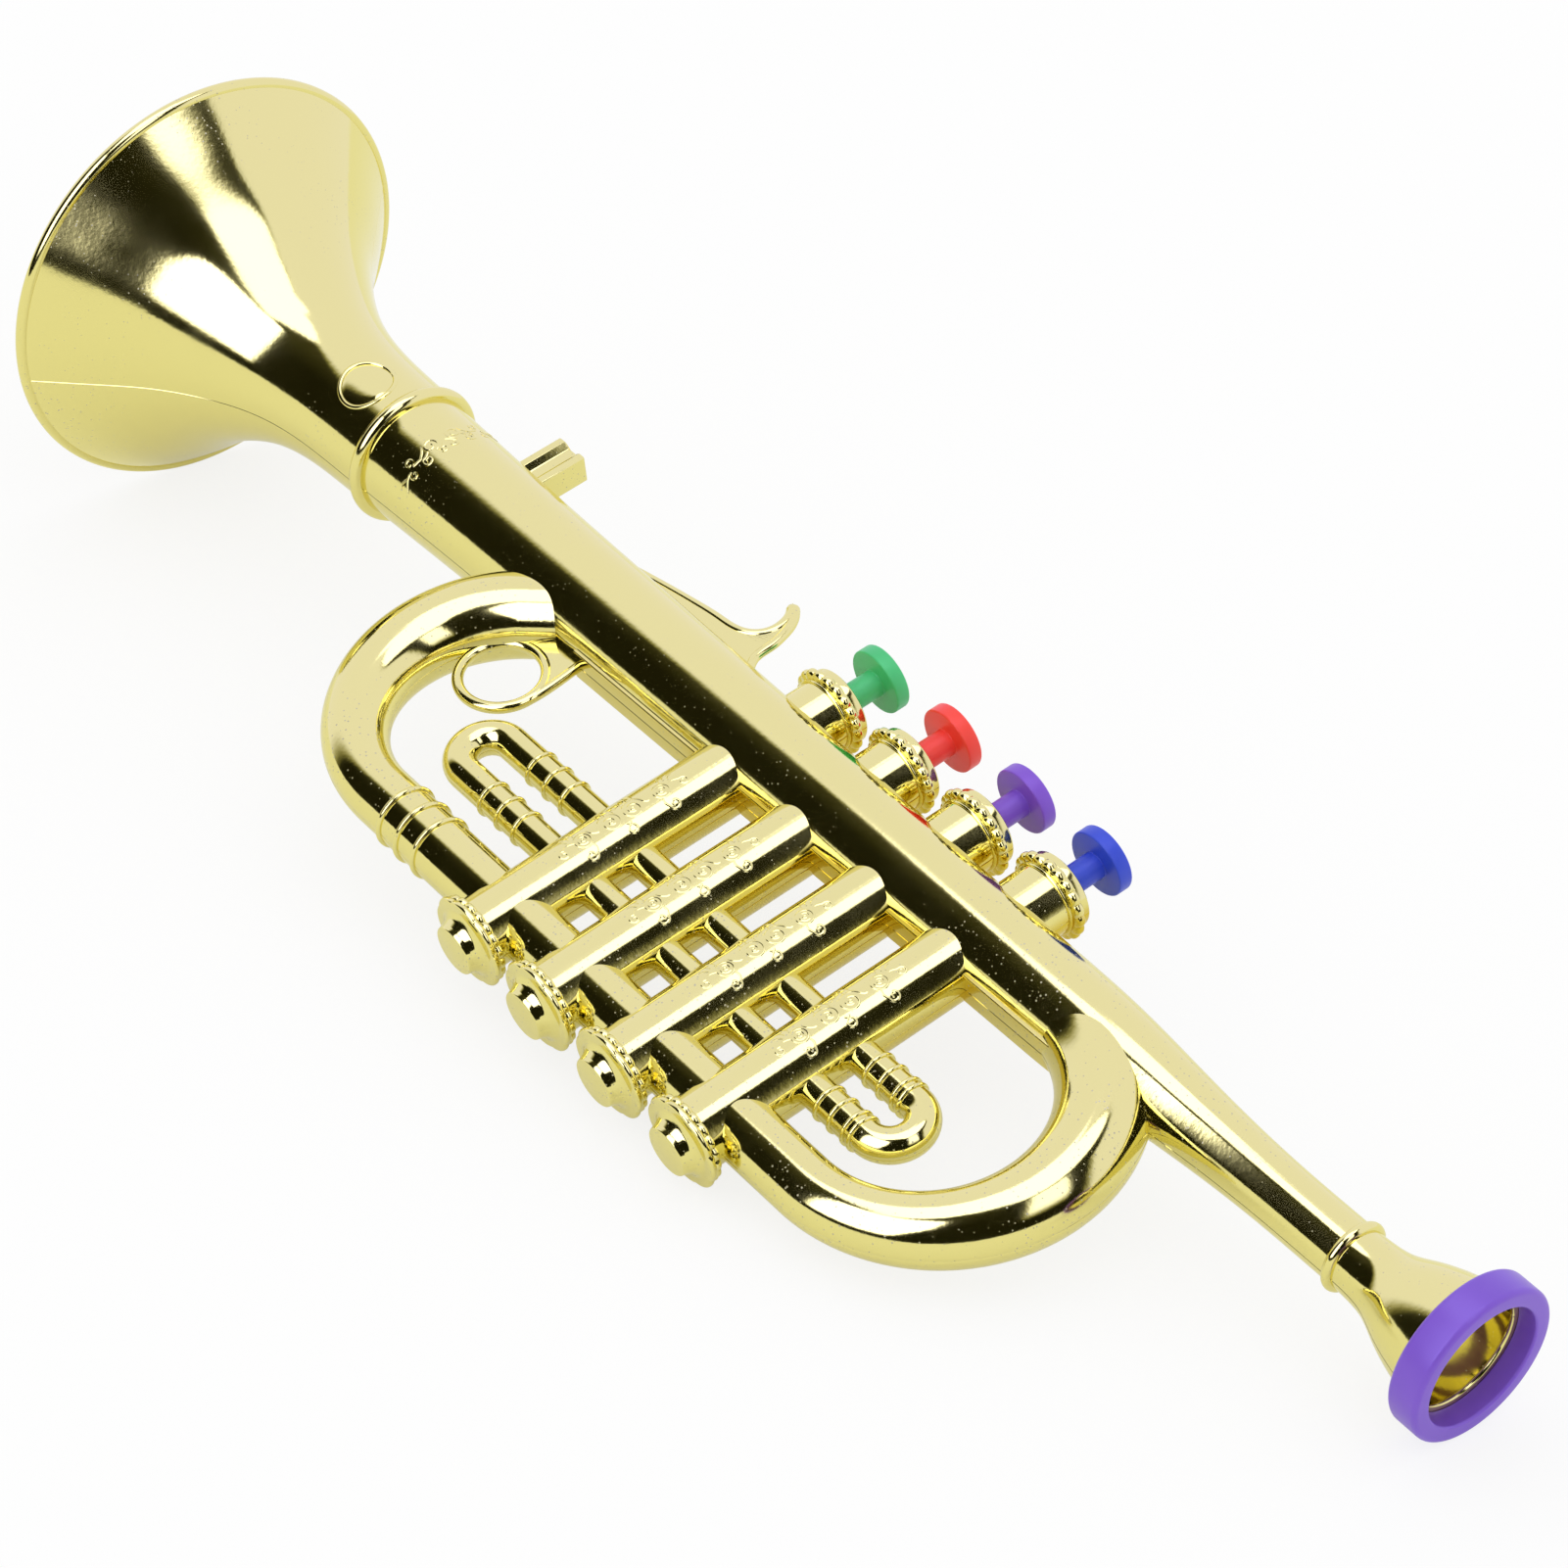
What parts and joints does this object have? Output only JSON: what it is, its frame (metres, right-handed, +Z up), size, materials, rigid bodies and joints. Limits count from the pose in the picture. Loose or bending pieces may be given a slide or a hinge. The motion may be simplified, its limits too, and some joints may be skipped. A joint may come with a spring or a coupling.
{
  "type": "toy trumpet",
  "caption": "Toy trumpet in gold plated plastic with sprung coloured keys, looped tubes, finger ring, hook and a purple lip ring.",
  "frame": {"origin": "centre of the box's base on the table, with the trumpet lying on its bell rim, its lip ring and its last bottom cap", "axes": "+X from the bell to the mouthpiece, +Y towards the key heads, +Z up from the table"},
  "size_m": [0.4276, 0.1322, 0.1033],
  "materials": {
    "gold_shell": "vacuum-plated yellow gold, mirror gloss",
    "purple_ring": "satin gloss",
    "green_key": "gloss",
    "red_key": "gloss",
    "purple_key": "gloss",
    "blue_key": "gloss",
    "white_plastic": "as moulded",
    "gasket_rubber": "matt",
    "pad_rubber": "matt",
    "reed_brass": "rolled sheet",
    "rivet_steel": "plain",
    "spring_steel": "drawn wire"
  },
  "bodies": {
    "trumpet": {"shell_front_bell": "gold_shell", "shell_front_loop": "gold_shell", "shell_front_valves": "gold_shell", "shell_front_pipe": "gold_shell", "shell_front_cup": "gold_shell", "shell_back_bell": "gold_shell", "shell_back_loop": "gold_shell", "shell_back_valves": "gold_shell", "shell_back_pipe": "gold_shell", "shell_back_cup": "gold_shell", "lip_ring": "purple_ring", "port_plate": "white_plastic", "block_gasket": "gasket_rubber", "reed_block": "white_plastic", "reed_green": "reed_brass", "reed_rivet_green": "rivet_steel", "spring_green": "spring_steel", "reed_red": "reed_brass", "reed_rivet_red": "rivet_steel", "spring_red": "spring_steel", "reed_purple": "reed_brass", "reed_rivet_purple": "rivet_steel", "spring_purple": "spring_steel", "reed_blue": "reed_brass", "reed_rivet_blue": "rivet_steel", "spring_blue": "spring_steel"},
    "button_green": {"key_green": "green_key", "valve_pad_green": "pad_rubber", "key_foot_green": "white_plastic"},
    "button_red": {"key_red": "red_key", "valve_pad_red": "pad_rubber", "key_foot_red": "white_plastic"},
    "button_purple": {"key_purple": "purple_key", "valve_pad_purple": "pad_rubber", "key_foot_purple": "white_plastic"},
    "button_blue": {"key_blue": "blue_key", "valve_pad_blue": "pad_rubber", "key_foot_blue": "white_plastic"}
  },
  "joints": [
    {"name": "green_key_press", "type": "slide", "parent": "trumpet", "child": "button_green", "axis": [-0.02, -0.9689, -0.2466], "range_m": [0, 0.008], "stiffness_N_per_m": 150, "springref_m": -0.004, "deforming": ["spring_green"]},
    {"name": "red_key_press", "type": "slide", "parent": "trumpet", "child": "button_red", "axis": [-0.02, -0.9689, -0.2466], "range_m": [0, 0.008], "stiffness_N_per_m": 150, "springref_m": -0.004, "deforming": ["spring_red"]},
    {"name": "purple_key_press", "type": "slide", "parent": "trumpet", "child": "button_purple", "axis": [-0.02, -0.9689, -0.2466], "range_m": [0, 0.008], "stiffness_N_per_m": 150, "springref_m": -0.004, "deforming": ["spring_purple"]},
    {"name": "blue_key_press", "type": "slide", "parent": "trumpet", "child": "button_blue", "axis": [-0.02, -0.9689, -0.2466], "range_m": [0, 0.008], "stiffness_N_per_m": 150, "springref_m": -0.004, "deforming": ["spring_blue"]}
  ]
}
